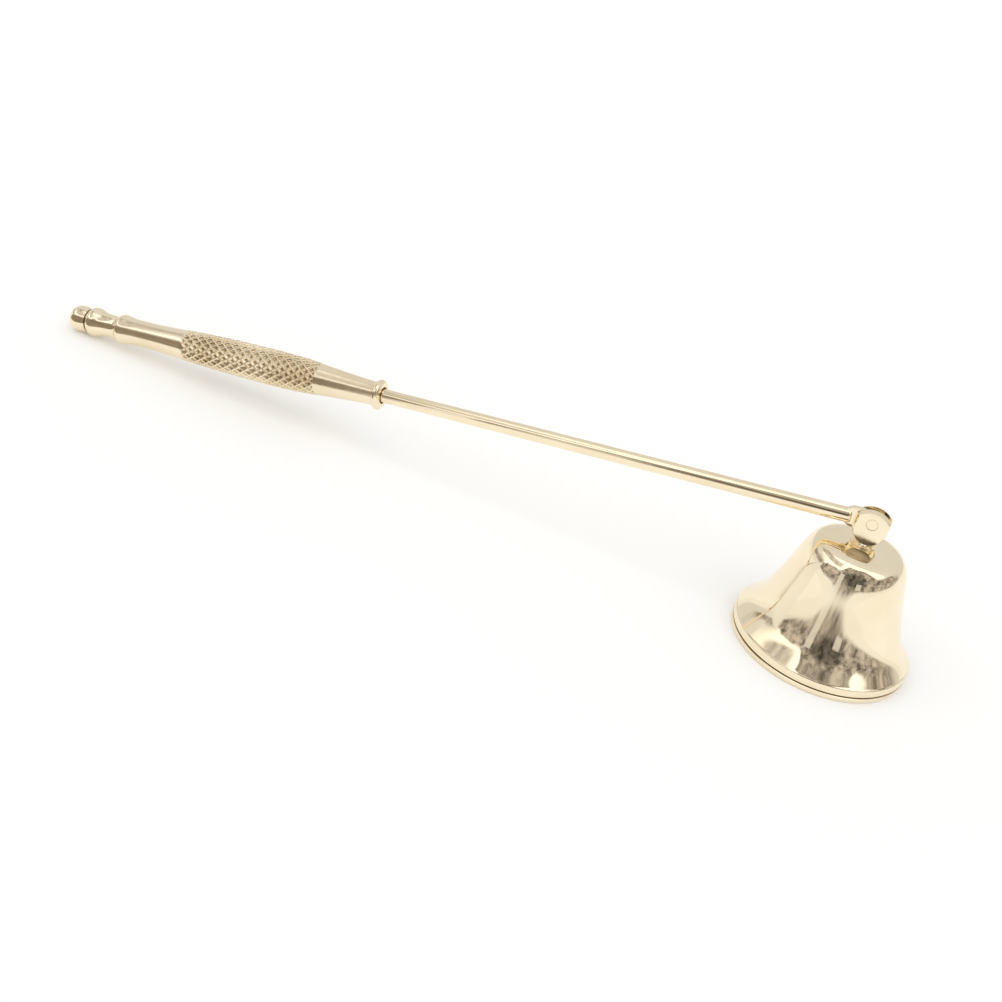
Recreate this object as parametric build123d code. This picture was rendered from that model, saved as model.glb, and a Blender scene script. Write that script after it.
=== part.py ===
from build123d import *
import math
import os

# A candle snuffer: a small bell hinged to the end of a thin rod with a turned, knurled handle.
# Sizes are in millimetres and angles in degrees, +Z is up. It stands on a table as it does when it
# is put down: the bell on its rim towards +X, the ball end of the handle touching the table at -X.
# The origin is on the table, in the middle of the rectangle that the snuffer covers.

# Bell: a spun shell, measured up from the rim
bell_rim_diameter = 42.0
bell_height = 28.9
bell_wall = 0.9
crown_seat_diameter = 7.4        # flat on the crown, under the post

# Lip of the bell: an upright band, a fine turned line, then a rounded edge
lip_height = 3.6
lip_corner_drop = 0.3            # bevel at the top of the band
lip_edge_height = 1.45           # from the rim up to the turned line
lip_line_width = 0.4
lip_line_depth = 0.25
lip_edge_radius = 0.6
lip_rest_width = 0.6             # flat ring that the bell stands on

# Outline of the bell's side from the top of the lip to the crown seat:
# shares of the rim radius, and of the height between the lip and the crown
bell_side_shares = [
    (0.9840, 0.0000),
    (0.9320, 0.0520),
    (0.8460, 0.1450),
    (0.7690, 0.2680),
    (0.7040, 0.4185),
    (0.6440, 0.5845),
    (0.5930, 0.7400),
    (0.5580, 0.8310),
    (0.5220, 0.8935),
    (0.4730, 0.9445),
    (0.4020, 0.9745),
    (0.3150, 0.9900),
    (0.2400, 0.9970),
]

# Post on the crown: a turned foot, neck and knob with two milled flats and a slot for the rod's eye
pin_above_crown = 5.9
post_foot_diameter = 6.0
post_foot_height = 0.4
post_neck_diameter = 4.6
post_knob_diameter = 8.0
post_top_above_pin = 3.1
post_dome_radius = 5.1
post_flats_width = 4.4
post_knob_centre_below_pin = 1.8
post_edge_round = 0.1

# Rivet through the post
rivet_diameter = 2.6
rivet_fit = 0.02                 # radial, in the post
rivet_running_fit = 0.06         # radial, in the rod's eye
rivet_end_chamfer = 0.15

# Stud and the fixings inside the bell
stud_diameter = 3.0
stud_fit = 0.1                   # radial, in the crown and the washers
stud_beyond_nut = 0.7
stud_chamfer = 0.3
washer_diameter = 7.0
washer_thickness = 0.5
spring_washer_diameter = 5.6
spring_washer_thickness = 0.8
spring_washer_split = 0.6
nut_across_flats = 5.5
nut_height = 2.4
nut_corner_chamfer = 0.35
nut_thread_fit = 0.05            # radial, stands for the thread

# Rod: round wire pressed flat at the hinge
rod_diameter = 3.5
eye_thickness = 1.5
eye_diameter = 4.7
eye_side_clearance = 0.1         # each side of the eye, in the post's slot
eye_bottom_clearance = 2.0       # under the eye, so that it can swing down past level
eye_shoulder_from_pin = 4.7
eye_flare_length = 1.2
rod_shoulder_round = 0.9
rod_spigot_diameter = 3.0
rod_spigot_length = 12.0
rod_in_grip = 8.0                # full diameter, behind the collar
rod_fit = 0.04                   # radial, in the handle
rod_end_clearance = 0.5
rod_end_chamfer = 0.4

# Handle, measured from the tip of the tail towards the bell
stick_length = 214.9             # hinge to the tip of the tail
handle_length = 94.05
tail_length = 15.9
collar_length = 2.0
grip_diameter = 9.28             # knurled barrel at its fullest
ball_diameter = 7.1
tail_line_depth = 0.2            # fine turned line behind the ball
tail_line_width = 0.35
ball_length = 6.05               # tip to that line
ball_neck_share = 0.895          # radius at the line, as a share of the ball's
tail_spigot_diameter = 4.0
tail_spigot_length = 7.0
tail_spigot_fit = 0.04           # radial
tail_spigot_chamfer = 0.4
collar_mouth_diameter = 4.2      # countersink round the rod
collar_mouth_depth = 0.6
collar_bead_diameter = 7.6
collar_end_diameter = 5.9

# Outline of the tail in front of the ball: shares of the length from the turned line to the joint
# with the grip, and of the grip's radius
tail_outline_shares = [
    (0.0470, 0.7540),
    (0.0950, 0.8120),
    (0.1580, 0.8400),
    (0.2210, 0.8340),
    (0.3050, 0.7900),
    (0.4100, 0.7250),
    (0.5370, 0.6750),
    (0.6740, 0.6540),
    (0.7890, 0.6540),
    (0.8840, 0.6700),
    (0.9470, 0.6940),
    (1.0000, 0.7300),
]

# Outline of the grip from the joint with the tail to the collar: shares of the grip's length and radius
grip_outline_shares = [
    (0.0000, 0.7370),
    (0.0055, 0.8060),
    (0.0110, 0.8420),
    (0.0175, 0.8490),
    (0.0265, 0.8310),
    (0.0395, 0.7970),
    (0.0580, 0.7610),
    (0.0880, 0.7480),
    (0.1340, 0.7550),
    (0.1870, 0.7850),
    (0.2520, 0.8410),
    (0.3050, 0.8900),
    (0.3570, 0.9290),
    (0.4100, 0.9570),
    (0.4750, 0.9830),
    (0.5670, 0.9970),
    (0.6100, 1.0000),
    (0.6460, 0.9960),
    (0.6990, 0.9760),
    (0.7450, 0.9440),
    (0.7770, 0.8990),
    (0.8170, 0.8380),
    (0.8690, 0.7690),
    (0.9220, 0.7050),
    (0.9680, 0.6620),
    (1.0000, 0.6420),
]

# One overrun for every cut that passes right through
overrun = 1.0

# Sine and cosine of 45 degrees, for the middle point of a round
half_turn = math.sqrt(0.5)

# Sizes that follow from those above
rim_radius = bell_rim_diameter / 2
grip_radius = grip_diameter / 2
ball_radius = ball_diameter / 2
grip_length = handle_length - tail_length - collar_length
pin_height = bell_height + pin_above_crown
slot_bottom_below_pin = eye_diameter / 2 + eye_bottom_clearance
stick_slope = math.degrees(math.asin((pin_height - ball_radius) / (stick_length - ball_radius)))
ball_centre_run = (stick_length - ball_radius) * math.cos(math.radians(stick_slope))
pin_x = (ball_centre_run + ball_radius - rim_radius) / 2
crown_inside = bell_height - bell_wall
washer_bottom = crown_inside - washer_thickness
spring_washer_bottom = washer_bottom - spring_washer_thickness
nut_bottom = spring_washer_bottom - nut_height
rod_end_station = handle_length - collar_length - rod_in_grip - rod_spigot_length


def disc(diameter, low, high, middle=(0, 0)):
    """An upright cylinder between two heights."""
    return Pos(*middle, (low + high) / 2) * Cylinder(diameter / 2, high - low)


def block(low, high):
    """A box between two opposite corners."""
    size = [b - a for a, b in zip(low, high)]
    middle = [(a + b) / 2 for a, b in zip(low, high)]
    return Pos(*middle) * Box(*size)


def solid_of_revolution(edges, axis):
    """Turns a closed outline that lies in the XZ plane about an axis."""
    return revolve(make_face(edges), axis=axis)


def polyline_edges(points):
    """Straight edges from point to point."""
    return [Line(a, b) for a, b in zip(points, points[1:])]


def in_from(curve, share, depth):
    """A point under a curve of the XZ plane, at the wall's depth from its surface."""
    along = curve % share
    place = curve @ share
    return place + Vector(-along.Z, 0, along.X) * depth


def on_bell_axis(part):
    """Moves a piece from the bell's own axis to its place on the table."""
    return Pos(pin_x, 0, 0) * part


def on_stick(part):
    """Moves a piece from the stick's own axis, with the hinge at its origin, to its slope."""
    return Pos(pin_x, 0, pin_height) * Rot(0, -stick_slope, 0) * part


def station_point(station, radius):
    """A point of a handle outline: distance from the tip of the tail, and radius."""
    return (station - stick_length, 0, radius)


def bar(diameter, start, end):
    """A round bar on the stick's axis between two stations."""
    middle = (start + end) / 2 - stick_length
    return Pos(middle, 0, 0) * Rot(0, 90, 0) * Cylinder(diameter / 2, end - start)


def chamfered_end(part, amount, direction):
    """Breaks the edge of a turned piece's end face."""
    face = part.faces().sort_by(Axis.X)[-1 if direction > 0 else 0]
    return chamfer(face.edges(), amount)


def bell_side_curve():
    """The outer side of the bell, from the top of the lip to the edge of the crown seat."""
    side_height = bell_height - lip_height
    points = [(rim_radius * r, 0, lip_height + side_height * z) for r, z in bell_side_shares]
    points.append((crown_seat_diameter / 2, 0, bell_height))
    return Spline(points, tangents=[(-1, 0, 1.25), (-1, 0, 0)])


def make_bell():
    """Spun shell with its lip, open below, with a hole in the crown for the post's stud."""
    side = bell_side_curve()
    lip_top = side @ 0
    line_top = lip_edge_height + lip_line_width / 2
    line_low = lip_edge_height - lip_line_width / 2
    band = [
        lip_top,
        (rim_radius - lip_line_depth / 2, 0, lip_height - lip_corner_drop),
        (rim_radius - lip_line_depth / 2, 0, line_top),
        (rim_radius - lip_line_depth, 0, lip_edge_height),
        (rim_radius, 0, line_low),
        (rim_radius, 0, lip_edge_radius),
    ]
    rest_outer = rim_radius - lip_edge_radius
    edge_round = ThreePointArc(
        (rim_radius, 0, lip_edge_radius),
        (rest_outer + lip_edge_radius * half_turn, 0, lip_edge_radius * (1 - half_turn)),
        (rest_outer, 0, 0),
    )
    rest_inner = rest_outer - lip_rest_width
    inner_shares = [0, 0.08, 0.17, 0.27, 0.38, 0.5, 0.62, 0.72, 0.8, 0.87, 0.94, 1]
    inner = Spline([in_from(side, share, bell_wall) for share in inner_shares])
    shell = solid_of_revolution(
        [
            side,
            *polyline_edges(band),
            edge_round,
            Line((rest_outer, 0, 0), (rest_inner, 0, 0)),
            Line((rest_inner, 0, 0), inner @ 0),
            inner,
            Line(inner @ 1, (0, 0, crown_inside)),
            Line((0, 0, crown_inside), (0, 0, bell_height)),
            Line((0, 0, bell_height), side @ 1),
        ],
        Axis.Z,
    )
    hole = disc(stud_diameter + 2 * stud_fit, crown_inside - overrun, bell_height + overrun)
    return on_bell_axis(shell - hole)


def post_blank():
    """The post as turned: stud, foot, neck, round-bottomed knob and domed top."""
    foot_top = bell_height + post_foot_height
    foot = fillet(disc(post_foot_diameter, bell_height, foot_top).edges().filter_by(GeomType.CIRCLE), post_edge_round)
    knob_radius = post_knob_diameter / 2
    knob_centre = pin_height - post_knob_centre_below_pin
    dome_centre = pin_height + post_top_above_pin - post_dome_radius
    knob_top = pin_height + post_top_above_pin
    column = disc(post_knob_diameter, knob_centre, knob_top + overrun)
    dome = Pos(0, 0, dome_centre) * Sphere(post_dome_radius)
    knob = (column & dome) + Pos(0, 0, knob_centre) * Sphere(knob_radius)
    neck = disc(post_neck_diameter, bell_height, knob_centre)
    stud_end = nut_bottom - stud_beyond_nut
    stud = disc(stud_diameter, stud_end, bell_height)
    stud = chamfer(stud.edges().filter_by(GeomType.CIRCLE).sort_by(Axis.Z)[0], stud_chamfer)
    return foot + knob + neck + stud


def make_bell_post():
    """The post with its flats, the slot for the rod's eye and the rivet's hole."""
    post = post_blank()
    reach = post_knob_diameter
    neck_radius = post_neck_diameter / 2
    knob_radius = post_knob_diameter / 2
    knob_centre = pin_height - post_knob_centre_below_pin
    flats_bottom = knob_centre - math.sqrt(knob_radius**2 - neck_radius**2)
    top = pin_height + post_top_above_pin + overrun
    for side in (-1, 1):
        near = side * post_flats_width / 2
        far = side * reach
        post -= block((-reach, min(near, far), flats_bottom), (reach, max(near, far), top))
    half_slot = eye_thickness / 2 + eye_side_clearance
    slot_bottom = pin_height - slot_bottom_below_pin
    post -= block((-reach, -half_slot, slot_bottom), (reach, half_slot, top))
    hole = Cylinder(rivet_diameter / 2 + rivet_fit, post_flats_width + 2 * overrun)
    post -= Pos(0, 0, pin_height) * Rot(90, 0, 0) * hole
    return on_bell_axis(post)


def make_hinge_rivet():
    """Rivet with both ends dressed flush with the post's flats."""
    rivet = Cylinder(rivet_diameter / 2, post_flats_width)
    rivet = chamfer(rivet.edges().filter_by(GeomType.CIRCLE), rivet_end_chamfer)
    return on_bell_axis(Pos(0, 0, pin_height) * Rot(90, 0, 0) * rivet)


def make_post_washer():
    """Flat washer against the inside of the crown."""
    washer = disc(washer_diameter, washer_bottom, crown_inside)
    washer -= disc(stud_diameter + 2 * stud_fit, washer_bottom - overrun, crown_inside + overrun)
    return on_bell_axis(washer)


def make_post_spring_washer():
    """Split spring washer, pressed flat."""
    ring = disc(spring_washer_diameter, spring_washer_bottom, washer_bottom)
    ring -= disc(stud_diameter + 2 * stud_fit, spring_washer_bottom - overrun, washer_bottom + overrun)
    half_split = spring_washer_split / 2
    low = (0, -half_split, spring_washer_bottom - overrun)
    high = (spring_washer_diameter, half_split, washer_bottom + overrun)
    return on_bell_axis(ring - block(low, high))


def make_post_nut():
    """Hexagon nut on the stud, with its corners turned off below."""
    nut = extrude(RegularPolygon(nut_across_flats / 2, 6, major_radius=False), nut_height)
    corner_radius = nut_across_flats / math.sqrt(3)
    turned = Cylinder(corner_radius, nut_height, align=(Align.CENTER, Align.CENTER, Align.MIN))
    turned = chamfer(turned.edges().filter_by(GeomType.CIRCLE).sort_by(Axis.Z)[0], nut_corner_chamfer)
    nut = Pos(0, 0, nut_bottom) * (nut & turned)
    nut -= disc(stud_diameter + 2 * nut_thread_fit, nut_bottom - overrun, spring_washer_bottom + overrun)
    return on_bell_axis(nut)


def make_eye():
    """The rod's flat end: a round eye, its neck, and the flare down to the rod's width."""
    half_eye = eye_diameter / 2
    half_rod = rod_diameter / 2
    flare_end = -eye_shoulder_from_pin - eye_flare_length
    outline = [
        (0, 0, half_eye),
        (-eye_shoulder_from_pin, 0, half_eye),
        (flare_end, 0, half_rod),
        (flare_end, 0, -half_rod),
        (-eye_shoulder_from_pin, 0, -half_eye),
        (0, 0, -half_eye),
    ]
    nose = ThreePointArc((0, 0, -half_eye), (half_eye, 0, 0), (0, 0, half_eye))
    profile = make_face([*polyline_edges(outline), nose])
    eye = extrude(profile, eye_thickness / 2, dir=(0, 1, 0), both=True)
    hole = Cylinder(rivet_diameter / 2 + rivet_running_fit, eye_thickness + 2 * overrun)
    return eye - Rot(90, 0, 0) * hole


def make_stem():
    """Round rod from the eye to the thinner spigot that holds it in the grip."""
    shoulder_station = stick_length - eye_shoulder_from_pin
    full_start = rod_end_station + rod_spigot_length
    rod = bar(rod_diameter, full_start, shoulder_station)
    front = rod.edges().filter_by(GeomType.CIRCLE).sort_by(Axis.X)[-1]
    rod = fillet(front, rod_shoulder_round)
    spigot = bar(rod_spigot_diameter, rod_end_station, full_start)
    spigot = chamfered_end(spigot, rod_end_chamfer, -1)
    return on_stick(rod + spigot + make_eye())


def make_handle_collar():
    """Beaded collar at the front of the handle, countersunk round the rod."""
    start = handle_length - collar_length
    end_radius = collar_end_diameter / 2
    bead = ThreePointArc(
        station_point(start, end_radius),
        station_point((start + handle_length) / 2, collar_bead_diameter / 2),
        station_point(handle_length, end_radius),
    )
    bore_radius = rod_diameter / 2 + rod_fit
    inside = [
        station_point(handle_length, end_radius),
        station_point(handle_length, collar_mouth_diameter / 2),
        station_point(handle_length - collar_mouth_depth, bore_radius),
        station_point(start, bore_radius),
        station_point(start, end_radius),
    ]
    return on_stick(solid_of_revolution([bead, *polyline_edges(inside)], Axis.X))


def make_handle_grip():
    """Grip between the tail and the collar, bored for the rod and for the tail's spigot."""
    points = [station_point(tail_length + grip_length * s, grip_radius * r) for s, r in grip_outline_shares]
    front = tail_length + grip_length
    body = solid_of_revolution(
        [
            Spline(points),
            *polyline_edges([points[-1], station_point(front, 0), station_point(tail_length, 0), points[0]]),
        ],
        Axis.X,
    )
    body -= bar(rod_diameter + 2 * rod_fit, front - rod_in_grip, front + overrun)
    spigot_end = rod_end_station - rod_end_clearance
    body -= bar(rod_spigot_diameter + 2 * rod_fit, spigot_end, front)
    socket_end = tail_length + tail_spigot_length + rod_end_clearance
    body -= bar(tail_spigot_diameter + 2 * tail_spigot_fit, tail_length - overrun, socket_end)
    return on_stick(body)


def make_handle_tail():
    """Turned tail: ball, fine line, ring and neck, with a spigot that enters the grip."""
    line_radius = ball_radius * ball_neck_share
    ball = ThreePointArc(
        station_point(0, 0),
        station_point(ball_radius * (1 - half_turn), ball_radius * half_turn),
        station_point(ball_radius, ball_radius),
    )
    after_ball = Spline(
        [station_point(ball_radius, ball_radius), station_point(ball_length, line_radius)],
        tangents=[(1, 0, 0), (ball_length - ball_radius, 0, 2 * (line_radius - ball_radius))],
    )
    line_middle = ball_length + tail_line_width / 2
    line_end = ball_length + tail_line_width
    ring_length = tail_length - line_end
    points = [station_point(line_end, line_radius)]
    points += [station_point(line_end + ring_length * s, grip_radius * r) for s, r in tail_outline_shares]
    line_edges = polyline_edges([
        station_point(ball_length, line_radius),
        station_point(line_middle, line_radius - tail_line_depth),
        points[0],
    ])
    closing = polyline_edges([points[-1], station_point(tail_length, 0), station_point(0, 0)])
    body = solid_of_revolution([ball, after_ball, *line_edges, Spline(points), *closing], Axis.X)
    spigot = bar(tail_spigot_diameter, tail_length, tail_length + tail_spigot_length)
    spigot = chamfered_end(spigot, tail_spigot_chamfer, 1)
    return on_stick(body + spigot)


pieces = {
    "bell": make_bell(),
    "bell_post": make_bell_post(),
    "hinge_rivet": make_hinge_rivet(),
    "post_washer": make_post_washer(),
    "post_spring_washer": make_post_spring_washer(),
    "post_nut": make_post_nut(),
    "stem": make_stem(),
    "handle_collar": make_handle_collar(),
    "handle_grip": make_handle_grip(),
    "handle_tail": make_handle_tail(),
}

os.makedirs("parts", exist_ok=True)
for name, piece in pieces.items():
    export_step(piece, f"parts/{name}.step")
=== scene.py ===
import math
import bmesh
import bpy
import numpy as np
from mathutils import Matrix, Vector


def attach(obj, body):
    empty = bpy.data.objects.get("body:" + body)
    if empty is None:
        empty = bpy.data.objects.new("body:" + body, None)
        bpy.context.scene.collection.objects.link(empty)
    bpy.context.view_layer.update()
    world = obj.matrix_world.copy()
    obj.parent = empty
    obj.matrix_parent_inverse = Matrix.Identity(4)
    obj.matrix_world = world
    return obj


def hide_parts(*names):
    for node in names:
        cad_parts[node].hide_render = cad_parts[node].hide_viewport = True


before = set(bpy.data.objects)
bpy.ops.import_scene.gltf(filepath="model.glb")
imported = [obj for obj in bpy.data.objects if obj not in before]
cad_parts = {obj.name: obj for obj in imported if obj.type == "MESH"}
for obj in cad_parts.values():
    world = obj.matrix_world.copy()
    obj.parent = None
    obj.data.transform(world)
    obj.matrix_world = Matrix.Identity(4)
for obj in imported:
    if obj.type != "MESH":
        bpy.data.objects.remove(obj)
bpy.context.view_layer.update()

# Looks of the candle snuffer. Sizes are in millimetres until they reach Blender, as in the part's
# source. Pieces of the stick are made on their own axis, along X with the hinge at the origin, and
# pieces of the bell on the Z axis, and then set down in their place on the table.
mm = 0.001
degrees = 180 / math.pi
along_x = (1, 0, 0)
along_z = (0, 0, 1)
lying_across = (math.pi / 2, 0, 0)
same_place = 0.002 * mm

# Bell. Its side is given as shares of the rim's radius and of the height above the lip
rim_radius = 21.0
bell_height = 28.9
bell_wall = 0.9
crown_seat_radius = 3.7
crown_hole_radius = 1.6
lip_height = 3.6
bell_side_shares = [
    (0.9840, 0.0000), (0.9320, 0.0520), (0.8460, 0.1450), (0.7690, 0.2680), (0.7040, 0.4185),
    (0.6440, 0.5845), (0.5930, 0.7400), (0.5580, 0.8310), (0.5220, 0.8935), (0.4730, 0.9445),
    (0.4020, 0.9745), (0.3150, 0.9900), (0.2400, 0.9970),
]
bell_side_start = (-0.625, 0.781)
bell_sides = 160
bell_side_steps = 84

# Lip, from its top down to the ring that the bell stands on: radius and height
lip_outline = [
    (20.75, 3.54), (20.84, 3.44), (20.88, 3.30), (20.90, 3.00), (20.91, 2.30), (20.91, 1.85),
    (20.89, 1.76), (20.82, 1.68), (20.64, 1.62), (20.62, 1.38), (20.82, 1.30), (20.95, 1.18),
    (21.00, 0.95), (21.00, 0.68), (20.96, 0.42), (20.83, 0.18), (20.64, 0.04), (20.40, 0.00),
    (19.80, 0.00),
]
lip_line_heights = (1.30, 1.68)
lip_line_inner = 20.5

# Hinge post and rivet
pin_height = 34.8
post_foot_radius = 3.0
post_foot_height = 0.4
post_foot_round = 0.1
post_neck_radius = 2.3
post_knob_radius = 4.0
post_knob_height = 33.0
post_dome_radius = 5.1
post_dome_height = 32.8
post_half_width = 2.2
post_slot_width = 1.7
post_slot_height = 30.45
post_sides = 96
cut_reach = 6.0
cut_top = 45
rivet_radius = 1.3
rivet_play = 0.02
rivet_ring = 0.1
rivet_sides = 64
edge_break = 0.12

# Stud of the post, and the fixings on it inside the bell
stud_radius = 1.5
stud_shoulder_radius = 1.4
stud_tip_radius = 1.1
stud_tip_length = 0.3
stud_end_height = 23.6
thread_pitch = 0.5
thread_depth = 0.16
thread_top_height = 24.6
washer_bore_radius = 1.6
washer_radius = 3.5
washer_heights = (27.5, 28.0)
washer_round = 0.1
washer_sides = 96
split_washer_radius = 2.8
split_washer_heights = (26.7, 27.5)
split_gap = 0.5
nut_heights = (24.3, 26.7)
nut_across_flats = 5.5
nut_face_inset = 0.45
nut_face_bevel = 0.3
nut_bore_radius = 1.55
nut_mouth_radius = 2.35
nut_mouth_depth = 0.25
nut_edge_break = 0.05
nut_sides = 64

# Stick
stick_length = 214.9
handle_length = 94.05
grip_radius = 4.64
stick_sides = 128

# Rod with its eye
rod_radius = 1.75
rod_in_grip = 8.0
rod_sides = 96
rod_shoulder_round = 0.9
eye_radius = 2.35
eye_half_thickness = 0.75
eye_shoulder = -4.7
eye_flare_length = 1.2
eye_hole_play = 0.06

# Collar: place from its rear end, and radius
collar_length = 2.0
collar_bead = [
    (0.03, 2.89), (0.16, 3.28), (0.58, 3.73), (1.00, 3.80), (1.42, 3.73), (1.84, 3.28), (2.00, 2.89),
]
collar_inside = [(2.00, 2.15), (1.94, 2.08), (1.40, 1.79), (0.00, 1.79), (0.00, 2.85)]
collar_mouth_radius = 2.12

# Tail: ball, line, and ring as shares of the ring's length and of the grip's radius
tail_length = 15.9
ball_radius = 3.55
ball_length = 6.05
ball_neck_radius = 3.177
ball_neck_heading = (0.972, -0.234)
tail_line_depth = 0.2
tail_line_width = 0.35
tail_line_floor = 0.12
tail_outline_shares = [
    (0.0470, 0.7540), (0.0950, 0.8120), (0.1580, 0.8400), (0.2210, 0.8340), (0.3050, 0.7900),
    (0.4100, 0.7250), (0.5370, 0.6750), (0.6740, 0.6540), (0.7890, 0.6540), (0.8840, 0.6700),
    (0.9470, 0.6940), (1.0000, 0.7300),
]
tail_end_round = [(-0.06, -0.01), (-0.02, -0.12)]

# Grip, as shares of its length and of its largest radius
grip_outline_shares = [
    (0.0000, 0.7370), (0.0055, 0.8060), (0.0110, 0.8420), (0.0175, 0.8490), (0.0265, 0.8310),
    (0.0395, 0.7970), (0.0580, 0.7610), (0.0880, 0.7480), (0.1340, 0.7550), (0.1870, 0.7850),
    (0.2520, 0.8410), (0.3050, 0.8900), (0.3570, 0.9290), (0.4100, 0.9570), (0.4750, 0.9830),
    (0.5670, 0.9970), (0.6100, 1.0000), (0.6460, 0.9960), (0.6990, 0.9760), (0.7450, 0.9440),
    (0.7770, 0.8990), (0.8170, 0.8380), (0.8690, 0.7690), (0.9220, 0.7050), (0.9680, 0.6620),
    (1.0000, 0.6420),
]
grip_rear_round = [(0.02, -0.12), (0.07, 0.0)]
grip_front_round = [(-0.08, 0.0), (0.0, -0.08)]

# Knurl: diamond pits between crossed ridges, each sunk in steps of (inset, depth)
knurl_start = 37.1
knurl_pitch = 2.61
knurl_cells_along = 15
knurl_cells_round = 14
knurl_steps = [(0.09, 0.02), (0.10, 0.08), (0.14, 0.16), (0.30, 0.24)]
knurl_end_steps = [(0.09, 0.02), (0.10, 0.08), (0.12, 0.10)]
knurl_seam = 0.12
least_pit_area = 0.8

# Where the stick and the bell stand
grip_end = handle_length - collar_length
grip_length = handle_length - tail_length - collar_length
knurl_end = knurl_start + knurl_cells_along * knurl_pitch
knurl_seams = (knurl_start - knurl_seam, knurl_end + knurl_seam)
neck_top = post_knob_height - math.sqrt(post_knob_radius**2 - post_neck_radius**2)
stick_slope = math.asin((pin_height - ball_radius) / (stick_length - ball_radius))
ball_run = (stick_length - ball_radius) * math.cos(stick_slope)
pin_x = (ball_run + ball_radius - rim_radius) / 2

# Table and light. Cards are placed in metres
table_radius = 6.0
table_glow = 0.10
studio_white = (1.0, 0.99, 0.97, 1)
room_radius = 2.2
side_card_place = (-0.074, -0.0323, 0.029)
side_card_turn = -0.475
side_card_size = (0.1214, 0.056)
screen_card_place = (-0.020, -0.035, 0.029)
screen_card_turn = math.pi / 2
screen_card_size = (0.064, 0.056)

# Reflected room: bearings from the near side and heights, in degrees
room_ends = ((-120, -100), (104, 126))
room_middle = ((-24, -2), (46, 68))
room_middle_lift = 32.0
room_darkest = (15.0, 22.0)
room_dark_reach = (30.0, 20.0)
shelf_ends = ((-120, -100), (-32, -18))
light_gaps = [(-12, 2, 25), (27, 7, 14)]
light_gap_half_widths = (4.0, 6.0)
see_through = 0.75

# Camera: angles in degrees, distance in millimetres
camera_target = (12.69, 0, 2.1)
camera_angles = (14.67, 30.21, 15.50)
camera_distance = 310.5
camera_lens = 44.91


def take_up(obj):
    """Makes one object the active one, and the only one selected."""
    bpy.ops.object.select_all(action="DESELECT")
    obj.select_set(True)
    bpy.context.view_layer.objects.active = obj


def settle():
    """Leaves the active object at the origin, unturned and unscaled, with its mesh where it was."""
    bpy.ops.object.transform_apply(location=True, rotation=True, scale=True)
    return bpy.context.active_object


def edit(obj):
    """Opens an object in edit mode."""
    take_up(obj)
    bpy.ops.object.mode_set(mode="EDIT")


def close():
    """Leaves edit mode."""
    bpy.ops.object.mode_set(mode="OBJECT")


def pick(obj, kind, test):
    """Selects only the vertices, edges or faces that pass a test, in edit mode."""
    bpy.ops.mesh.select_mode(type=kind)
    bpy.ops.mesh.select_all(action="DESELECT")
    mesh = bmesh.from_edit_mesh(obj.data)
    for item in {"VERT": mesh.verts, "EDGE": mesh.edges, "FACE": mesh.faces}[kind]:
        item.select_set(bool(test(item)))
    bmesh.update_edit_mesh(obj.data)


def curve_headings(place, run, start, end):
    """Headings of the smooth curve at its points. An end without a given one is free."""
    slope = np.diff(place, axis=0) / run[:, None]
    last = len(run)
    weights = np.zeros((last + 1, last + 1))
    totals = np.zeros((last + 1, 2))
    weights[0, :2], totals[0] = (2, 1), 3 * slope[0]
    weights[last, -2:], totals[last] = (1, 2), 3 * slope[-1]
    if start:
        weights[0, :2], totals[0] = (1, 0), start
    if end:
        weights[last, -2:], totals[last] = (0, 1), end
    for i in range(1, last):
        weights[i, i - 1:i + 2] = run[i], 2 * (run[i - 1] + run[i]), run[i - 1]
        totals[i] = 3 * (run[i] * slope[i - 1] + run[i - 1] * slope[i])
    return np.linalg.solve(weights, totals)


def smooth_line(points, steps, start=None, end=None):
    """Evenly spaced points on the smooth curve through the given ones."""
    place = np.array(points, float)
    run = np.linalg.norm(np.diff(place, axis=0), axis=1)
    heading = curve_headings(place, run, start, end)
    knots = np.concatenate([[0], np.cumsum(run)])
    line = []
    for at in np.linspace(0, knots[-1], steps + 1):
        i = min(int(np.searchsorted(knots, at, side="right")), len(run)) - 1
        u = (at - knots[i]) / run[i]
        spot = (
            (1 + 2 * u) * (1 - u) ** 2 * place[i]
            + u * (1 - u) ** 2 * run[i] * heading[i]
            + u * u * (3 - 2 * u) * place[i + 1]
            - u * u * (1 - u) * run[i] * heading[i + 1]
        )
        line.append((float(spot[0]), float(spot[1])))
    return line


def arc(centre, radius, start, end, steps):
    """Points on part of a circle, between two angles in degrees."""
    turns = [math.radians(start + (end - start) * i / steps) for i in range(steps + 1)]
    return [(centre[0] + radius * math.cos(t), centre[1] + radius * math.sin(t)) for t in turns]


def drawn_outline(name, points):
    """Edges through points of the XZ plane, drawn out from one vertex. Left in edit mode."""
    bpy.ops.object.select_all(action="DESELECT")
    bpy.ops.mesh.primitive_plane_add(size=mm)
    obj = bpy.context.active_object
    obj.name = obj.data.name = name
    bpy.ops.object.mode_set(mode="EDIT")
    bpy.ops.mesh.select_mode(type="VERT")
    bpy.ops.mesh.select_all(action="SELECT")
    bpy.ops.mesh.merge(type="CENTER")
    bpy.ops.transform.translate(value=(mm * points[0][0], 0, mm * points[0][1]))
    for here, there in zip(points, points[1:]):
        step = (mm * (there[0] - here[0]), 0, mm * (there[1] - here[1]))
        bpy.ops.mesh.extrude_region_move(TRANSFORM_OT_translate={"value": step})
    return obj


def face_outwards():
    """Turns all faces outwards, and leaves edit mode."""
    bpy.ops.mesh.select_all(action="SELECT")
    bpy.ops.mesh.normals_make_consistent(inside=False)
    close()


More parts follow.
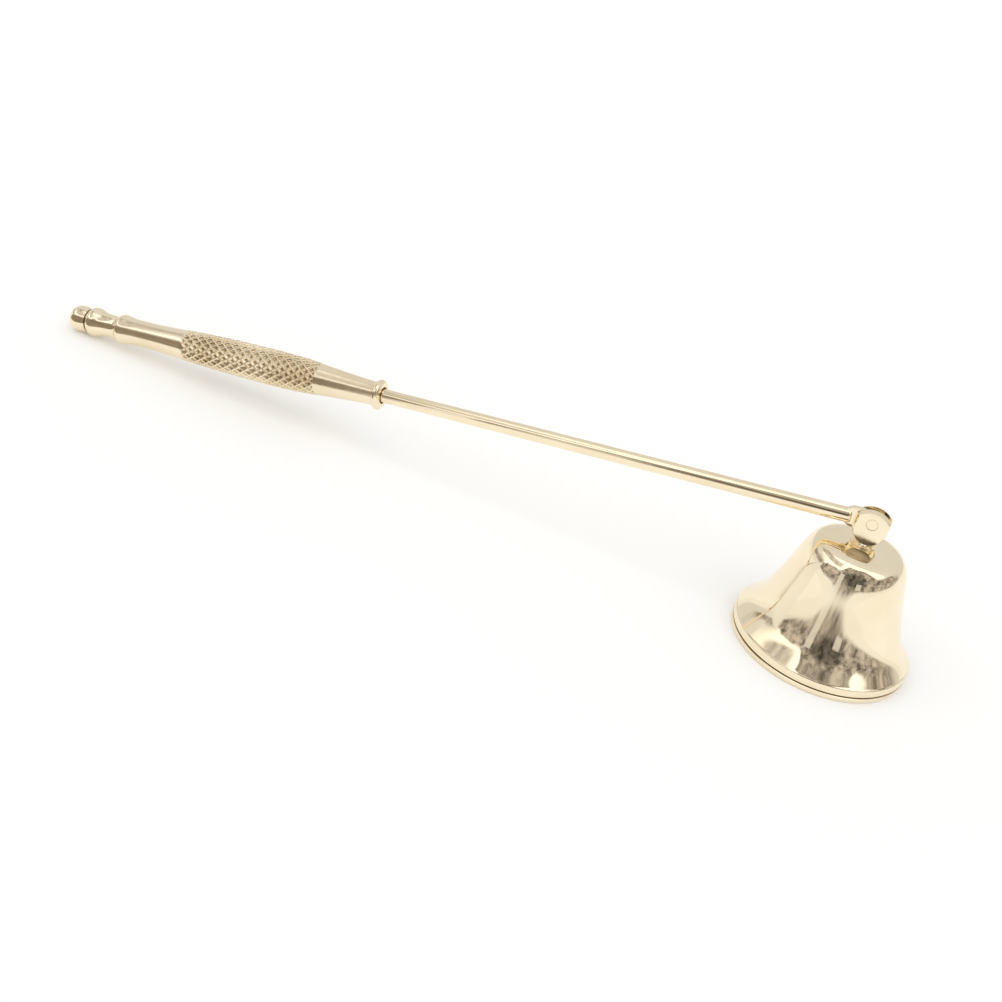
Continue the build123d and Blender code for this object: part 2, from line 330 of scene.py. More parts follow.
def turned(name, points, axis, sides):
    """A piece turned from its outline about an axis through the origin."""
    obj = drawn_outline(name, points)
    bpy.ops.mesh.select_all(action="SELECT")
    bpy.ops.mesh.spin(steps=sides, angle=math.tau, center=(0, 0, 0), axis=axis)
    bpy.ops.mesh.select_all(action="SELECT")
    bpy.ops.mesh.remove_doubles(threshold=same_place)
    face_outwards()
    return obj


def block(low, high):
    """A box between two opposite corners, for cutting."""
    middle = [mm * (a + b) / 2 for a, b in zip(low, high)]
    size = [mm * (b - a) for a, b in zip(low, high)]
    bpy.ops.object.select_all(action="DESELECT")
    bpy.ops.mesh.primitive_cube_add(size=1, location=middle, scale=size)
    return settle()


def pin(radius, middle, depth, turn=(0, 0, 0), sides=64):
    """A cylinder, for cutting and joining."""
    place = [mm * c for c in middle]
    bpy.ops.object.select_all(action="DESELECT")
    bpy.ops.mesh.primitive_cylinder_add(
        vertices=sides, radius=mm * radius, depth=mm * depth, location=place, rotation=turn
    )
    return settle()


def combine(obj, other, how):
    """Cuts another object out of this one, joins it on or keeps what they share."""
    take_up(obj)
    step = obj.modifiers.new("combine", "BOOLEAN")
    step.object = other
    step.operation = how
    step.solver = "EXACT"
    bpy.ops.object.modifier_apply(modifier=step.name)
    bpy.data.objects.remove(other)


def break_edges(obj, width, segments=3):
    """Rounds the sharp edges of a piece a little."""
    take_up(obj)
    step = obj.modifiers.new("break edges", "BEVEL")
    step.width = mm * width
    step.segments = segments
    step.limit_method = "ANGLE"
    step.angle_limit = math.radians(32)
    bpy.ops.object.modifier_apply(modifier=step.name)


def set_down(obj, place, turn=(0, 0, 0)):
    """Turns a piece, moves it to its place and leaves its object at the origin."""
    take_up(obj)
    obj.rotation_euler = turn
    obj.location = [mm * c for c in place]
    settle()


def on_stick(obj):
    """Lays a piece of the stick on its slope."""
    set_down(obj, (pin_x, 0, pin_height), (0, -stick_slope, 0))


def on_bell_axis(obj):
    """Stands a piece of the bell in its place."""
    set_down(obj, (pin_x, 0, 0))


def coat(obj, *finishes):
    """Gives a piece its finishes. The first is on all its faces."""
    for finish in finishes:
        obj.data.materials.append(finish)


def coat_picked(obj, number):
    """Puts another of its finishes on the selected faces, in edit mode."""
    obj.active_material_index = number
    bpy.ops.object.material_slot_assign()


def coat_with_shaded_line(obj, finish, in_line):
    """Gives a piece its finish, and painted shade, a dark brown gold, on the faces of its turned line."""
    coat(obj, finish, groove_shade_gold)
    edit(obj)
    pick(obj, "FACE", in_line)
    coat_picked(obj, 1)
    close()


def finish_piece(obj, body, node, angle=30):
    """Shades a piece, hangs it on its body and hides the imported part it stands in for."""
    take_up(obj)
    bpy.ops.object.shade_smooth_by_angle(angle=math.radians(angle))
    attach(obj, body)
    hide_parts(node)


# Finishes

def add_node(tree, kind, settings=None, **inputs):
    """Adds a node, with its settings and inputs. An input given as a socket is linked.

    Inputs go by their name, with _ for a space, or by their number after an n."""
    made = tree.nodes.new(kind)
    for key, value in (settings or {}).items():
        setattr(made, key, value)
    for key, value in inputs.items():
        numbered = key[0] == "n" and key[1:].isdigit()
        socket = made.inputs[int(key[1:]) if numbered else key.replace("_", " ")]
        if isinstance(value, bpy.types.NodeSocket):
            tree.links.new(value, socket)
        else:
            socket.default_value = value
    return made


def sums(tree, how, *values):
    """One value worked out from two or more, in turn."""
    made = values[0]
    for value in values[1:]:
        made = add_node(tree, "ShaderNodeMath", {"operation": how}, n0=made, n1=value).outputs[0]
    return made


def noise(tree, place, scale, detail=2.0, roughness=0.5):
    """Noise with that many spots to the metre."""
    made = add_node(tree, "ShaderNodeTexNoise", Vector=place, Scale=scale, Detail=detail, Roughness=roughness)
    return made.outputs["Fac"]


def spread(tree, value, low, high, start=0.3, end=0.7):
    """Maps the middle of a noise onto a range."""
    made = add_node(
        tree, "ShaderNodeMapRange", Value=value, From_Min=start, From_Max=end, To_Min=low, To_Max=high
    )
    return made.outputs["Result"]


def soft_step(tree, value, start, end, low=0.0, high=1.0):
    """A value that goes softly from low to high between two places."""
    made = add_node(
        tree, "ShaderNodeMapRange", {"interpolation_type": "SMOOTHSTEP"},
        Value=value, From_Min=start, From_Max=end, To_Min=low, To_Max=high,
    )
    return made.outputs["Result"]


def between(tree, value, rising, falling):
    """One between two places and zero outside, with soft ends."""
    return sums(tree, "MULTIPLY", soft_step(tree, value, *rising), soft_step(tree, value, *falling, 1, 0))


def bump(tree, height, depth, under=None):
    """Bumps with a depth in millimetres, over the ones under them."""
    made = add_node(tree, "ShaderNodeBump", Strength=1.0, Distance=depth * mm, Height=height)
    if under:
        tree.links.new(under, made.inputs["Normal"])
    return made.outputs["Normal"]


def metal(name, deep, pale, roughness, grain, ripple, rings=None):
    """Metal whose tone drifts slowly, with uneven polish, fine grain and a slow ripple.

    Grain and ripple are (spots to the metre, depth in mm), and rings along Z the same."""
    material = bpy.data.materials.new(name)
    material.use_nodes = True
    tree = material.node_tree
    shader = tree.nodes["Principled BSDF"]
    shader.inputs["Metallic"].default_value = 1.0
    place = add_node(tree, "ShaderNodeTexCoord").outputs["Object"]
    tone = add_node(
        tree, "ShaderNodeMix", {"data_type": "RGBA"},
        n0=spread(tree, noise(tree, place, 90, 3), 0, 1), n6=(*deep, 1), n7=(*pale, 1),
    )
    tree.links.new(tone.outputs[2], shader.inputs["Base Color"])
    patches = noise(tree, place, 700, 4, 0.6)
    tree.links.new(spread(tree, patches, *roughness), shader.inputs["Roughness"])
    relief = bump(tree, noise(tree, place, ripple[0], 1), ripple[1])
    relief = bump(tree, noise(tree, place, grain[0], 3), grain[1], relief)
    if rings:
        lines = add_node(
            tree, "ShaderNodeTexWave", {"wave_type": "BANDS", "bands_direction": "Z"},
            Vector=place, Scale=rings[0], Distortion=1.5, Detail=3.0, Detail_Scale=2.0,
        )
        relief = bump(tree, lines.outputs["Fac"], rings[1], relief)
    tree.links.new(relief, shader.inputs["Normal"])
    return material


bell_gold = metal(
    "bell_gold", deep=(0.91, 0.79, 0.57), pale=(0.97, 0.86, 0.65),
    roughness=(0.03, 0.07), grain=(2500, 0.0006), ripple=(130, 0.010), rings=(900, 0.0004),
)
turned_gold = metal(
    "turned_gold", deep=(0.90, 0.78, 0.56), pale=(0.97, 0.86, 0.65),
    roughness=(0.08, 0.15), grain=(3000, 0.0015), ripple=(200, 0.010),
)
rod_gold = metal(
    "rod_gold", deep=(0.90, 0.77, 0.55), pale=(0.97, 0.85, 0.63),
    roughness=(0.06, 0.12), grain=(3000, 0.0010), ripple=(160, 0.008),
)
satin_gold = metal(
    "satin_gold", deep=(0.89, 0.77, 0.55), pale=(0.97, 0.86, 0.66),
    roughness=(0.13, 0.22), grain=(2600, 0.0030), ripple=(300, 0.012),
)
grained_gold = metal(
    "grained_gold", deep=(0.88, 0.75, 0.53), pale=(0.97, 0.86, 0.67),
    roughness=(0.15, 0.27), grain=(1900, 0.0090), ripple=(420, 0.020),
)
# Knurl pits: darker, browner copies of the ridge gold, painted shade on the pit walls and deeper painted
# shade on the pit floors.
pit_wall_shade_gold = metal(
    "pit_wall_shade_gold", deep=(0.64, 0.50, 0.30), pale=(0.88, 0.75, 0.52),
    roughness=(0.20, 0.32), grain=(2600, 0.0050), ripple=(300, 0.015),
)
pit_floor_shade_gold = metal(
    "pit_floor_shade_gold", deep=(0.30, 0.20, 0.09), pale=(0.48, 0.34, 0.18),
    roughness=(0.35, 0.50), grain=(2600, 0.0050), ripple=(300, 0.015),
)
# Dark brown gold for the turned lines and the collar's mouth: painted shade in the grooves.
groove_shade_gold = metal(
    "groove_shade_gold", deep=(0.22, 0.15, 0.08), pale=(0.36, 0.25, 0.14),
    roughness=(0.30, 0.45), grain=(2600, 0.0040), ripple=(300, 0.010),
)
fixing_steel = metal(
    "fixing_steel", deep=(0.52, 0.52, 0.50), pale=(0.68, 0.68, 0.66),
    roughness=(0.22, 0.38), grain=(3000, 0.0030), ripple=(400, 0.006),
)


# Bell head

def bell_outline():
    """Closed outline of the shell: outside from the crown down, round the rim, and up inside."""
    side_height = bell_height - lip_height
    marks = [(rim_radius * r, lip_height + side_height * z) for r, z in bell_side_shares]
    marks.append((crown_seat_radius, bell_height))
    side = smooth_line(marks, bell_side_steps, start=bell_side_start, end=(-1, 0))
    heading = np.gradient(np.array(side), axis=0)
    heading /= np.linalg.norm(heading, axis=1)[:, None]
    inner = [(x - bell_wall * h[1], z + bell_wall * h[0]) for (x, z), h in zip(side, heading)][::3]
    hole_top = (crown_hole_radius, bell_height)
    hole_low = (crown_hole_radius, bell_height - bell_wall)
    return [hole_top, *side[::-1], *lip_outline, *inner, hole_low, hole_top]


def in_lip_line(face):
    """True for the faces of the turned line round the lip."""
    middle = face.calc_center_median() / mm
    low, high = lip_line_heights
    return low < middle.z < high and math.hypot(middle.x, middle.y) > lip_line_inner


def make_bell():
    """Spun shell with its lip."""
    bell = turned("spun_bell", bell_outline(), along_z, bell_sides)
    # The lip's turned line gets the dark gold: painted shade in the groove.
    coat_with_shaded_line(bell, bell_gold, in_lip_line)
    on_bell_axis(bell)
    finish_piece(bell, "bell_head", "bell", 35)


def stud_outline():
    """Stud up to the crown, threaded where it shows below its nut."""
    height = stud_end_height + stud_tip_length
    line = [(0, stud_end_height), (stud_tip_radius, stud_end_height), (stud_shoulder_radius, height)]
    while height + thread_pitch < thread_top_height:
        for radius in (stud_radius - thread_depth, stud_radius):
            height += thread_pitch / 2
            line.append((radius, height))
    return [*line, (stud_radius, bell_height)]


def post_outline():
    """Turned foot, neck, knob and dome above the crown."""
    foot_edge = post_foot_radius - post_foot_round
    foot_top = bell_height + post_foot_height
    neck_angle = math.degrees(math.asin((neck_top - post_knob_height) / post_knob_radius))
    dome_edge = math.degrees(math.acos(post_knob_radius / post_dome_radius))
    return [
        *arc((foot_edge, bell_height + post_foot_round), post_foot_round, -90, 0, 3),
        *arc((foot_edge, foot_top - post_foot_round), post_foot_round, 0, 90, 3),
        (post_neck_radius, foot_top),
        *arc((0, post_knob_height), post_knob_radius, neck_angle, 0, 14),
        *arc((0, post_dome_height), post_dome_radius, dome_edge, 90, 14),
    ]


def make_post():
    """Turned post with its stud, two flats, a slot for the eye and the rivet's hole."""
    post = turned("hinge_post", [*stud_outline(), *post_outline()], along_z, post_sides)
    half_slot = post_slot_width / 2
    cuts = [
        (-cut_reach, -post_half_width, neck_top),
        (post_half_width, cut_reach, neck_top),
        (-half_slot, half_slot, post_slot_height),
    ]
    for near, far, low in cuts:
        combine(post, block((-cut_reach, near, low), (cut_reach, far, cut_top)), "DIFFERENCE")
    combine(post, pin(rivet_radius + rivet_play, (0, 0, pin_height), 10, lying_across), "DIFFERENCE")
    break_edges(post, edge_break)
    coat(post, turned_gold)
    on_bell_axis(post)
    finish_piece(post, "bell_head", "bell_post", 40)


def make_rivet():
    """Rivet, flush with the post's flats, with a narrow ring round each end."""
    end, inner = post_half_width, rivet_radius - rivet_ring
    outline = [
        (0, end), (inner, end), (rivet_radius, end - rivet_ring),
        (rivet_radius, rivet_ring - end), (inner, -end), (0, -end),
    ]
    rivet = turned("hinge_rivet_dressed", outline, along_z, rivet_sides)
    coat(rivet, turned_gold)
    set_down(rivet, (pin_x, 0, pin_height), lying_across)
    finish_piece(rivet, "bell_head", "hinge_rivet")


def ring_outline(outer, heights):
    """Closed outline of a flat ring with rounded edges."""
    low, high = heights[0] + washer_round, heights[1] - washer_round
    outside, inside = outer - washer_round, washer_bore_radius + washer_round
    corners = [((outside, low), -90), ((outside, high), 0), ((inside, high), 90), ((inside, low), 180)]
    line = []
    for centre, start in corners:
        line += arc(centre, washer_round, start, start + 90, 3)
    return [*line, line[0]]


def make_washers():
    """Flat washer against the crown, and a split spring washer under it."""
    flat = turned("flat_washer", ring_outline(washer_radius, washer_heights), along_z, washer_sides)
    split = turned(
        "split_washer", ring_outline(split_washer_radius, split_washer_heights), along_z, washer_sides
    )
    low, high = split_washer_heights
    gap = block((1.0, -split_gap / 2, low - 0.5), (4.0, split_gap / 2, high + 0.5))
    combine(split, gap, "DIFFERENCE")
    for washer, node in ((flat, "post_washer"), (split, "post_spring_washer")):
        coat(washer, fixing_steel)
        on_bell_axis(washer)
        finish_piece(washer, "bell_head", node)


def make_nut():
    """Hexagon nut with a turned lower face and a widened mouth."""
    low, high = nut_heights
    corner = nut_across_flats / math.sqrt(3)
    nut = pin(corner, (0, 0, (low + high) / 2), high - low, sides=6)
    nut.name = nut.data.name = "hexagon_nut"
    past = corner + 0.02
    faced = [(0, low), (corner - nut_face_inset, low), (past, low + nut_face_bevel), (past, high), (0, high)]
    combine(nut, turned("turned_face", faced, along_z, nut_sides), "INTERSECT")
    bore = [
        (0, low - 1), (nut_mouth_radius, low - 1), (nut_bore_radius, low + nut_mouth_depth),
        (nut_bore_radius, high + 1), (0, high + 1),
    ]
    combine(nut, turned("bore", bore, along_z, nut_sides), "DIFFERENCE")
    break_edges(nut, nut_edge_break, 2)
    coat(nut, fixing_steel)
    on_bell_axis(nut)
    finish_piece(nut, "bell_head", "post_nut")


# Stick

def at_station(points):
    """Outline points given from the tip of the tail, on the stick's own axis."""
    return [(station - stick_length, radius) for station, radius in points]


def eye_plate():
    """Flat eye of the rod, narrowed to the rod behind its shoulder."""
    flare_end = eye_shoulder - eye_flare_length
    outline = [
        *arc((0, 0), eye_radius, 90, -90, 32), (eye_shoulder, -eye_radius), (flare_end, -rod_radius),
        (flare_end, rod_radius), (eye_shoulder, eye_radius), (0, eye_radius),
    ]
    plate = drawn_outline("eye", outline)
    bpy.ops.mesh.select_all(action="SELECT")
    bpy.ops.mesh.remove_doubles(threshold=same_place)
    bpy.ops.mesh.edge_face_add()
    bpy.ops.transform.translate(value=(0, -eye_half_thickness * mm, 0))
    thickness = (0, 2 * eye_half_thickness * mm, 0)
    bpy.ops.mesh.extrude_region_move(TRANSFORM_OT_translate={"value": thickness})
    face_outwards()
    return plate


def make_stem():
    """Round rod, pressed flat at its front end into the eye."""
    start = grip_end - rod_in_grip - stick_length
    front = eye_shoulder - rod_shoulder_round
    nose = arc((front, rod_radius - rod_shoulder_round), rod_shoulder_round, 90, 0, 5)
    outline = [(start, 0), (start, rod_radius), *nose, (eye_shoulder, 0)]
    rod = turned("rod_with_eye", outline, along_x, rod_sides)
    combine(rod, eye_plate(), "UNION")
    combine(rod, pin(rivet_radius + eye_hole_play, (0, 0, 0), 6, lying_across), "DIFFERENCE")
    break_edges(rod, edge_break)
    coat(rod, rod_gold)
    on_stick(rod)
    finish_piece(rod, "stick", "stem", 35)


def in_collar_mouth(face):
    """True for the faces inside the collar, round the rod."""
    middle = face.calc_center_median() / mm
    return math.hypot(middle.y, middle.z) < collar_mouth_radius


def make_collar():
    """Bead collar round the rod, at the front of the handle."""
    bead = smooth_line(collar_bead, 26)
    outline = [(grip_end + place, radius) for place, radius in (*bead, *collar_inside, bead[0])]
    collar = turned("bead_collar", at_station(outline), along_x, stick_sides)
    # The faces inside the mouth get the dark gold: painted shade round the rod.
    coat_with_shaded_line(collar, turned_gold, in_collar_mouth)
    on_stick(collar)
    finish_piece(collar, "stick", "handle_collar", 40)


def tail_outline(line_start, line_end):
    """Ball, turned line and ring, from the tip forwards."""
    ball = arc((ball_radius, 0), ball_radius, 180, 90, 30)
    neck = [(ball_radius, ball_radius), (line_start, ball_neck_radius)]
    neck = smooth_line(neck, 10, start=(1, 0), end=ball_neck_heading)
    line_middle = (line_start + line_end) / 2
    floor_radius = ball_neck_radius - tail_line_depth
    floor = [(line_middle + side * tail_line_floor / 2, floor_radius) for side in (-1, 1)]
    marks = [(line_end, ball_neck_radius)]
    marks += [(line_end + (tail_length - line_end) * s, grip_radius * r) for s, r in tail_outline_shares]
    ring = smooth_line(marks, 48)
    closing = [(tail_length + back, ring[-1][1] + inward) for back, inward in tail_end_round]
    return [*ball, *neck[1:], *floor, *ring[:-1], *closing, (tail_length, 0)]


def make_tail():
    """Turned tail of the handle."""
    line = (ball_length, ball_length + tail_line_width)
    tail = turned("turned_tail", at_station(tail_outline(*line)), along_x, stick_sides)
    low, high = (mm * (station - stick_length) for station in line)
    # The tail's turned line gets the dark gold: painted shade in the groove.
    coat_with_shaded_line(tail, turned_gold, lambda f: low < f.calc_center_median().x < high)
    on_stick(tail)
    finish_piece(tail, "stick", "handle_tail", 40)


def grip_outline():
    """Smooth outline of the whole grip, from the tail to the collar."""
    marks = [(tail_length + grip_length * s, grip_radius * r) for s, r in grip_outline_shares]
    return smooth_line(marks, 200)


def radius_at(line, station):
    """Radius of an outline at a place along it."""
    return float(np.interp(station, [p[0] for p in line], [p[1] for p in line]))


def straight_inner_edge(edge):
    """True for an edge straight along or straight round the barrel, away from its ends."""
    a, b = (v.co for v in edge.verts)
    round_it = abs(a.x - b.x) < 0.01 * mm
    along = abs(a.y * b.z - a.z * b.y) < 1e-3 * mm * mm
    return (round_it or along) and not edge.is_boundary


def size_ring(obj, x, radius):
    """Brings the ring of vertices at x to a radius in millimetres."""
    pick(obj, "VERT", lambda v: abs(v.co.x - x) < 0.02 * mm)
    chosen = [v for v in bmesh.from_edit_mesh(obj.data).verts if v.select]
    now = sum(math.hypot(v.co.y, v.co.z) for v in chosen) / len(chosen)
    factor = radius * mm / now
    bpy.ops.transform.resize(value=(1, factor, factor), center_override=(x, 0, 0))


def diamond_barrel(line):
    """Open barrel of flat diamonds, with half ones at its ends. Left in edit mode."""
    length = knurl_cells_along * knurl_pitch
    low = mm * (knurl_start - stick_length)
    bpy.ops.object.select_all(action="DESELECT")
    bpy.ops.mesh.primitive_cylinder_add(
        vertices=knurl_cells_round, radius=mm * grip_radius, depth=mm * length, end_fill_type="NOTHING",
        location=(low + mm * length / 2, 0, 0), rotation=(0, math.pi / 2, 0),
    )
    barrel = settle()
    coat(barrel, satin_gold, pit_wall_shade_gold, pit_floor_shade_gold)
    edit(barrel)
    pick(barrel, "EDGE", lambda e: abs(e.verts[0].co.x - e.verts[1].co.x) > mm)
    bpy.ops.mesh.subdivide(number_cuts=knurl_cells_along - 1)
    bpy.ops.mesh.select_all(action="SELECT")
    bpy.ops.mesh.poke()
    for ring in range(2 * knurl_cells_along + 1):
        x = low + mm * ring * knurl_pitch / 2
        size_ring(barrel, x, radius_at(line, knurl_start + ring * knurl_pitch / 2))
    pick(barrel, "EDGE", straight_inner_edge)
    bpy.ops.mesh.dissolve_edges(use_verts=False)
    return barrel


def sink_pits(barrel):
    """Sinks a stepped pit into each diamond, paints shade on its walls and a deeper shade on its floor, and
    leaves edit mode.
    """
    for sides, steps in ((4, knurl_steps), (3, knurl_end_steps)):
        pick(barrel, "FACE", lambda f: len(f.verts) == sides and f.calc_area() > least_pit_area * mm * mm)
        for number, (thickness, depth) in enumerate(steps):
            bpy.ops.mesh.inset(thickness=thickness * mm, depth=-depth * mm, use_individual=True)
            # Walls of the pit get painted shade, and its floor below a deeper painted shade.
            if number == 1:
                coat_picked(barrel, 1)
        coat_picked(barrel, 2)
    close()


def grip_cones(line):
    """Plain cones of the grip, behind and in front of the knurl."""
    rear_end, front_start = knurl_seams
    rear = [(tail_length, 0), *((tail_length + x, line[0][1] + r) for x, r in grip_rear_round)]
    rear += [p for p in line if tail_length + 0.2 < p[0] < rear_end - 0.1]
    rear.append((rear_end, radius_at(line, rear_end)))
    front = [(front_start, radius_at(line, front_start))]
    front += [p for p in line if front_start + 0.1 < p[0] < grip_end - 0.2]
    front += [*((grip_end + x, line[-1][1] + r) for x, r in grip_front_round), (grip_end, 0)]
    cones = [turned("grip_cone", at_station(half), along_x, stick_sides) for half in (rear, front)]
    for cone, finish in zip(cones, (satin_gold, grained_gold)):
        coat(cone, finish)
    return cones


def make_grip():
    """Knurled grip: the barrel joined to the cones, with the seams closed."""
    line = grip_outline()
    grip = diamond_barrel(line)
    sink_pits(grip)
    cones = grip_cones(line)
    take_up(grip)
    for cone in cones:
        cone.select_set(True)
    bpy.ops.object.join()
    grip.name = grip.data.name = "knurled_grip"
    edit(grip)
    for seam in knurl_seams:
        x = mm * (seam - stick_length)
        pick(grip, "EDGE", lambda e: e.is_boundary and abs(e.verts[0].co.x - x) < 1.5 * knurl_seam * mm)
        bpy.ops.mesh.bridge_edge_loops()
    face_outwards()
    on_stick(grip)
    finish_piece(grip, "stick", "handle_grip", 40)


# Table, light and camera

def table_white():
    """Matt white that the camera and the metal see a little whiter than it is lit."""
    material = bpy.data.materials.new("table_white")
    material.use_nodes = True
    tree = material.node_tree
    shader = tree.nodes["Principled BSDF"]
    shader.inputs["Base Color"].default_value = (0.92, 0.92, 0.92, 1)
    shader.inputs["Roughness"].default_value = 0.9
    shader.inputs["Specular IOR Level"].default_value = 0.0
    rays = add_node(tree, "ShaderNodeLightPath").outputs
    seen = sums(tree, "MAXIMUM", rays["Is Camera Ray"], rays["Is Glossy Ray"], rays["Is Transmission Ray"])
    strength = sums(tree, "MULTIPLY", seen, table_glow)
    glow = add_node(tree, "ShaderNodeEmission", Color=(1, 1, 1, 1), Strength=strength)
    both = add_node(tree, "ShaderNodeAddShader", n0=shader.outputs[0], n1=glow.outputs[0])
    tree.links.new(both.outputs[0], tree.nodes["Material Output"].inputs["Surface"])
    return material


def add_table():
    """A wide pale table under the snuffer."""
    bpy.ops.object.select_all(action="DESELECT")
    bpy.ops.mesh.primitive_circle_add(vertices=96, radius=table_radius, fill_type="NGON", location=(0, 0, 0))
    table = bpy.context.active_object
    table.name = "table"
    coat(table, table_white())


def shares(tree, vector):
    """The X, Y and Z of a vector."""
    return tuple(add_node(tree, "ShaderNodeSeparateXYZ", Vector=vector).outputs)


def bearings(tree, toward):
    """The share along X of a direction, its angles over and round from the near side, and its rise."""
    unit = add_node(tree, "ShaderNodeVectorMath", {"operation": "NORMALIZE"}, n0=toward).outputs["Vector"]
    x, y, z = shares(tree, unit)
    near = sums(tree, "MULTIPLY", y, -1.0)
    over = sums(tree, "MULTIPLY", sums(tree, "ARCTAN2", z, near), degrees)
    around = sums(tree, "MULTIPLY", sums(tree, "ARCTAN2", x, near), degrees)
    rise = add_node(tree, "ShaderNodeMath", {"operation": "ARCSINE"}, n0=z).outputs[0]
    return x, over, around, sums(tree, "MULTIPLY", rise, degrees)


def light_gap(tree, around, rise, bearing, low, high):
    """How far one upright gap lets the light behind the room through."""
    near, far = light_gap_half_widths
    width = between(tree, around, (bearing - far, bearing - near), (bearing + near, bearing + far))
    foot = soft_step(tree, rise, low - 2, low)
    return sums(tree, "MULTIPLY", width, foot, soft_step(tree, rise, high, high + 2, see_through, 0))


def room_cover(tree, place):
    """Where the room stands: low at its ends, high in the middle, with an uneven top and light gaps."""
    _, _, around, rise = bearings(tree, place)
    middle = sums(tree, "MULTIPLY", between(tree, around, *room_middle), room_middle_lift)
    top = sums(tree, "ADD", soft_step(tree, around, -66, -44, 20, 28), middle)
    top = sums(tree, "ADD", top, spread(tree, noise(tree, place, 2.2, 3), -3, 3))
    upper = soft_step(tree, sums(tree, "SUBTRACT", rise, top), -2.5, 3.0, 1, 0)
    foot = sums(
        tree, "ADD", soft_step(tree, around, -84, -44, 10.5, 4.5),
        soft_step(tree, around, -34, -8, 0.0, -4.0), soft_step(tree, around, 14, 34, 0.0, 3.0),
    )
    lower = soft_step(tree, sums(tree, "SUBTRACT", rise, foot), 0.0, 3.0)
    room = sums(tree, "MULTIPLY", upper, lower, between(tree, around, *room_ends))
    for gap in light_gaps:
        room = sums(tree, "MULTIPLY", room, sums(tree, "SUBTRACT", 1.0, light_gap(tree, around, rise, *gap)))
    shelf = sums(
        tree, "MULTIPLY", between(tree, around, *shelf_ends), soft_step(tree, rise, 35, 40),
        soft_step(tree, rise, 56, 66, see_through, 0),
    )
    return sums(tree, "MAXIMUM", room, shelf)


def room_tone(tree, place):
    """Patchy brown-grey, deepest in the middle: a colour and a strength."""
    _, _, around, rise = bearings(tree, place)
    patches = add_node(
        tree, "ShaderNodeMix", {"data_type": "RGBA"},
        n0=spread(tree, noise(tree, place, 3.0, 5, 0.66), 0, 1, 0.38, 0.62),
        n6=(0.15, 0.13, 0.12, 1), n7=(0.66, 0.61, 0.56, 1),
    )
    squares = []
    for angle, middle, reach in zip((around, rise), room_darkest, room_dark_reach):
        away = sums(tree, "DIVIDE", sums(tree, "SUBTRACT", angle, middle), reach)
        squares.append(sums(tree, "MULTIPLY", away, away))
    return patches.outputs[2], soft_step(tree, sums(tree, "ADD", *squares), 0.1, 1.2, 0.30, 1.0)


def side_cover(tree, place):
    """A low strip beside the handle, as high as the handle lies there times a share."""
    x, _, z = shares(tree, place)
    lies = sums(tree, "ADD", sums(tree, "MULTIPLY", x, 0.179), 0.0251)
    share = sums(tree, "DIVIDE", z, lies)
    share = sums(tree, "ADD", share, spread(tree, noise(tree, place, 60, 3), -0.15, 0.15))
    ends = between(tree, x, (-0.132, -0.124), (-0.048, -0.030))
    return sums(tree, "MULTIPLY", soft_step(tree, share, 2.1, 2.8, 1, 0), ends)


def side_tone(tree, place):
    """Soft brown, a little uneven: a colour and a strength."""
    return (0.27, 0.225, 0.175, 1), spread(tree, noise(tree, place, 90, 3), 0.6, 1.2)


def screen_cover(tree, place):
    """A pale screen with soft edges that hides the strip from the bell, lowest beside the handle."""
    _, y, z = shares(tree, place)
    sides = between(tree, y, (-0.066, -0.054), (-0.008, -0.005))
    above = sums(tree, "ADD", z, sums(tree, "MULTIPLY", y, 0.9))
    return sums(tree, "MULTIPLY", sides, soft_step(tree, above, 0.001, 0.009, 1, 0))


def screen_tone(tree, place):
    """As pale as the table: a colour and a strength."""
    _, _, z = shares(tree, place)
    return studio_white, soft_step(tree, z, 0.0, 0.03, 0.98, 0.90)


def reflected_card(card, name, cover_of, tone_of):
    """Makes an object a card that only the metal sees: dim where its cover is, and clear elsewhere."""
    card.name = name
    card.visible_camera = False
    card.visible_diffuse = False
    card.visible_shadow = False
    material = bpy.data.materials.new(name)
    material.use_nodes = True
    tree = material.node_tree
    tree.nodes.remove(tree.nodes["Principled BSDF"])
    place = add_node(tree, "ShaderNodeTexCoord").outputs["Object"]
    tone, strength = tone_of(tree, place)
    clear = add_node(tree, "ShaderNodeBsdfTransparent")
    dim = add_node(tree, "ShaderNodeEmission", Color=tone, Strength=strength)
    cover = cover_of(tree, place)
    mixed = add_node(tree, "ShaderNodeMixShader", n0=cover, n1=clear.outputs[0], n2=dim.outputs[0])
    tree.links.new(mixed.outputs[0], tree.nodes["Material Output"].inputs["Surface"])
    coat(card, material)


def upright_card(place, turn, size):
    """An upright plane with a width and a height."""
    bpy.ops.object.select_all(action="DESELECT")
    bpy.ops.mesh.primitive_plane_add(size=1, location=place, rotation=(math.pi / 2, 0, turn))
    bpy.context.active_object.scale = (*size, 1)
    return settle()


def room_dome():
    """The upper half of a wide ball round the snuffer."""
    bpy.ops.object.select_all(action="DESELECT")
    bpy.ops.mesh.primitive_uv_sphere_add(segments=64, ring_count=32, radius=room_radius, location=(0, 0, 0))
    dome = bpy.context.active_object
    edit(dome)
    pick(dome, "FACE", lambda f: f.calc_center_median().z < 0)
    bpy.ops.mesh.delete(type="FACE")
    close()
    return dome


def add_cards():
    """The dim room round the near side, the strip beside the handle and the screen in front of it."""
    reflected_card(room_dome(), "room_card", room_cover, room_tone)
    side = upright_card(side_card_place, side_card_turn, side_card_size)
    reflected_card(side, "side_card", side_cover, side_tone)
    screen = upright_card(screen_card_place, screen_card_turn, screen_card_size)
    reflected_card(screen, "screen_card", screen_cover, screen_tone)


def unsigned(tree, value):
    """A value without its sign."""
    return add_node(tree, "ShaderNodeMath", {"operation": "ABSOLUTE"}, n0=value).outputs[0]


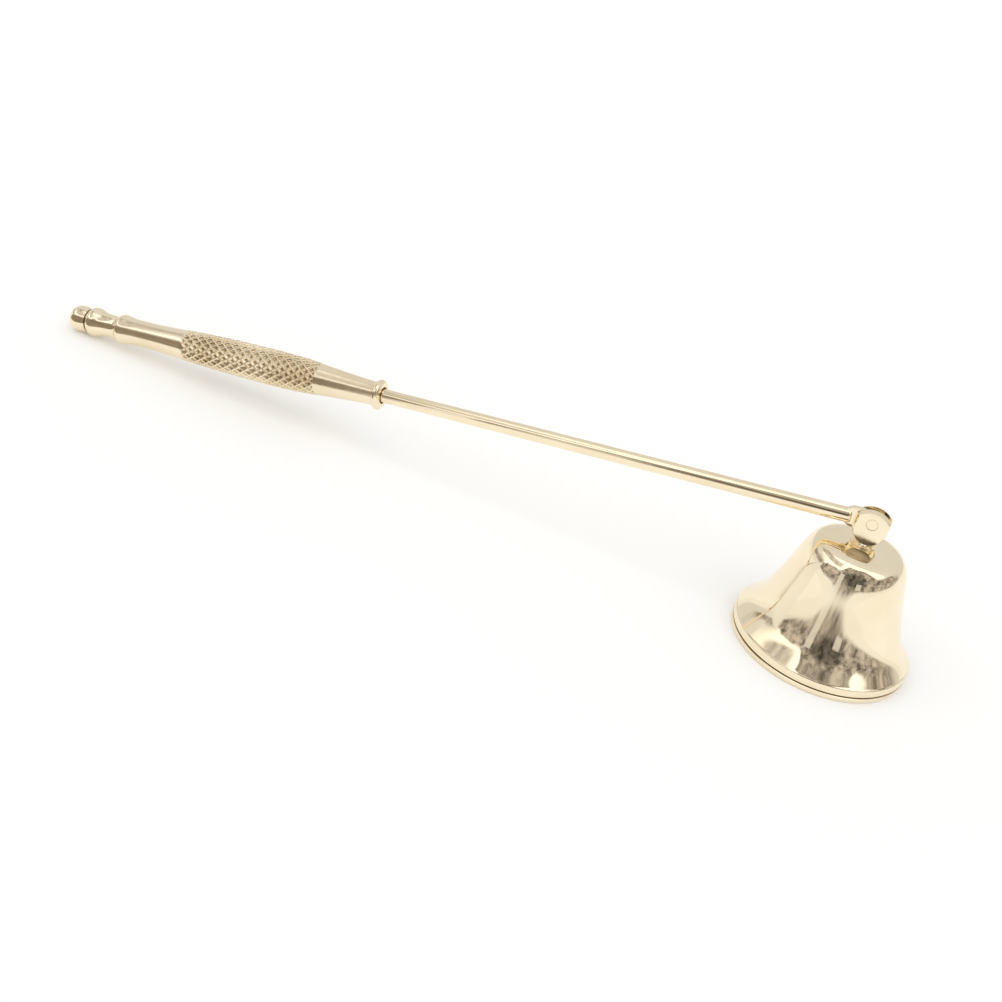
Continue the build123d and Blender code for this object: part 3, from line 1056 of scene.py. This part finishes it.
def add_world():
    """Soft white studio all round, brighter above the near side, with an open top."""
    world = bpy.data.worlds.new("studio")
    bpy.context.scene.world = world
    world.use_nodes = True
    tree = world.node_tree
    across, over, _, rise = bearings(tree, add_node(tree, "ShaderNodeTexCoord").outputs["Generated"])
    aside = unsigned(tree, across)
    panel = between(tree, over, (30, 38), (88, 92))
    panel = sums(tree, "MULTIPLY", panel, soft_step(tree, aside, 0.78, 0.93, 1, 0))
    level = sums(tree, "ADD", sums(tree, "MULTIPLY", panel, 0.52), soft_step(tree, over, 92, 130, 0.84, 0.76))
    level = sums(tree, "MAXIMUM", level, soft_step(tree, rise, 3, 12, 0.97, 0.0))
    off_seam = unsigned(tree, sums(tree, "SUBTRACT", over, 92.0))
    off_seam = sums(tree, "ADD", off_seam, soft_step(tree, aside, 0.35, 0.55, 0.0, 2.0))
    seam = soft_step(tree, off_seam, 0.4, 1.8, 0.60, 1.0)
    background = tree.nodes["Background"]
    background.inputs["Color"].default_value = studio_white
    tree.links.new(sums(tree, "MULTIPLY", level, seam), background.inputs["Strength"])


def add_camera():
    """The photograph's viewing angle."""
    azimuth, elevation, roll = (math.radians(a) for a in camera_angles)
    back = Vector((
        math.sin(azimuth) * math.cos(elevation),
        -math.cos(azimuth) * math.cos(elevation),
        math.sin(elevation),
    ))
    right = (-back).cross(Vector((0, 0, 1))).normalized()
    up = right.cross(-back)
    across = math.cos(roll) * right + math.sin(roll) * up
    upward = -math.sin(roll) * right + math.cos(roll) * up
    bpy.ops.object.select_all(action="DESELECT")
    bpy.ops.object.camera_add()
    camera = bpy.context.active_object
    turn = Matrix((across, upward, back)).transposed().to_4x4()
    stand = Vector(camera_target) * mm + back * camera_distance * mm
    camera.matrix_world = Matrix.Translation(stand) @ turn
    camera.data.lens = camera_lens
    camera.data.sensor_width = 36.0
    camera.data.clip_start = 0.01
    bpy.context.scene.camera = camera


add_camera()
make_bell()
make_post()
make_rivet()
make_washers()
make_nut()
make_stem()
make_collar()
make_tail()
make_grip()
add_table()
add_cards()
add_world()
bpy.context.scene.view_settings.view_transform = "Standard"
